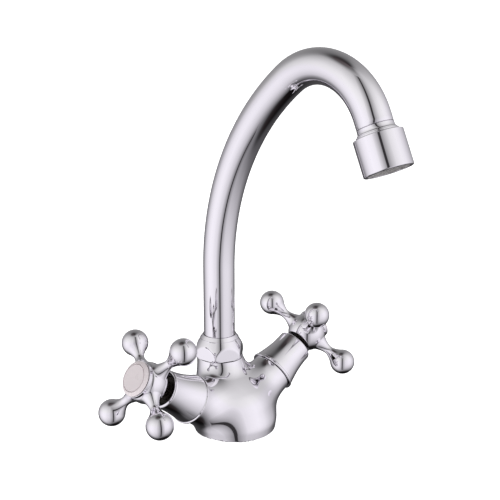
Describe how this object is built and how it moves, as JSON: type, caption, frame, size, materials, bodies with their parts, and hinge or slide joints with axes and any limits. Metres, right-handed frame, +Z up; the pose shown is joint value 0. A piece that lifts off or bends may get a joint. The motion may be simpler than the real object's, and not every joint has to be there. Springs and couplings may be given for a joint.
{
  "type": "two handle kitchen faucet",
  "caption": "Compact deck-mounted kitchen faucet with a tall swivelling gooseneck spout, splayed cross handles on ceramic cartridges and a screw-on aerator.",
  "frame": {"origin": "centre of the round underside of the valve body, on the sink deck", "axes": "+Z up, square to the deck; -Y the way the spout points; +X towards the right handle"},
  "size_m": [0.1584, 0.1513, 0.2192],
  "materials": {
    "chrome": "polished plate",
    "brass": "machined",
    "steel": "satin stainless",
    "rubber": "matte",
    "white_plastic": "moulded acetal",
    "grey_plastic": "moulded mesh",
    "ivory_plastic": "smooth satin gloss",
    "ceramic": "lapped alumina"
  },
  "bodies": {
    "body": {"valve_body": "chrome", "base_gasket": "rubber", "spout_nut": "chrome", "spout_thrust_ring": "white_plastic", "left_cartridge_seal": "rubber", "left_cartridge_housing": "brass", "left_fixed_disc": "ceramic", "left_bonnet_sleeve": "chrome", "right_cartridge_seal": "rubber", "right_cartridge_housing": "brass", "right_fixed_disc": "ceramic", "right_bonnet_sleeve": "chrome"},
    "spout": {"spout_tube": "chrome", "spout_fitting": "brass", "spout_o_ring_lower": "rubber", "spout_o_ring_upper": "rubber", "spout_slip_ring": "white_plastic", "outlet_collar": "chrome", "aerator_housing": "chrome", "aerator_washer": "rubber", "aerator_insert": "white_plastic", "aerator_screen": "grey_plastic"},
    "left_handle": {"left_cross_handle": "chrome", "left_handle_screw": "steel", "left_index_cap": "ivory_plastic", "left_spindle": "brass", "left_spindle_ring": "rubber", "left_moving_disc": "ceramic", "left_retaining_clip": "steel"},
    "right_handle": {"right_cross_handle": "chrome", "right_handle_screw": "steel", "right_index_cap": "ivory_plastic", "right_spindle": "brass", "right_spindle_ring": "rubber", "right_moving_disc": "ceramic", "right_retaining_clip": "steel"}
  },
  "joints": [
    {"name": "spout_swivel", "type": "hinge", "parent": "body", "child": "spout", "pos_m": [0, 0.0145, 0.05], "axis": [0, 0, 1], "continuous": true},
    {"name": "left_handle_turn", "type": "hinge", "parent": "body", "child": "left_handle", "pos_m": [0, 0.003, 0.0058], "axis": [-0.8536, 0, 0.521], "range_deg": [0, 90]},
    {"name": "right_handle_turn", "type": "hinge", "parent": "body", "child": "right_handle", "pos_m": [0, 0.003, 0.0058], "axis": [0.8536, 0, 0.521], "range_deg": [-90, 0]}
  ]
}
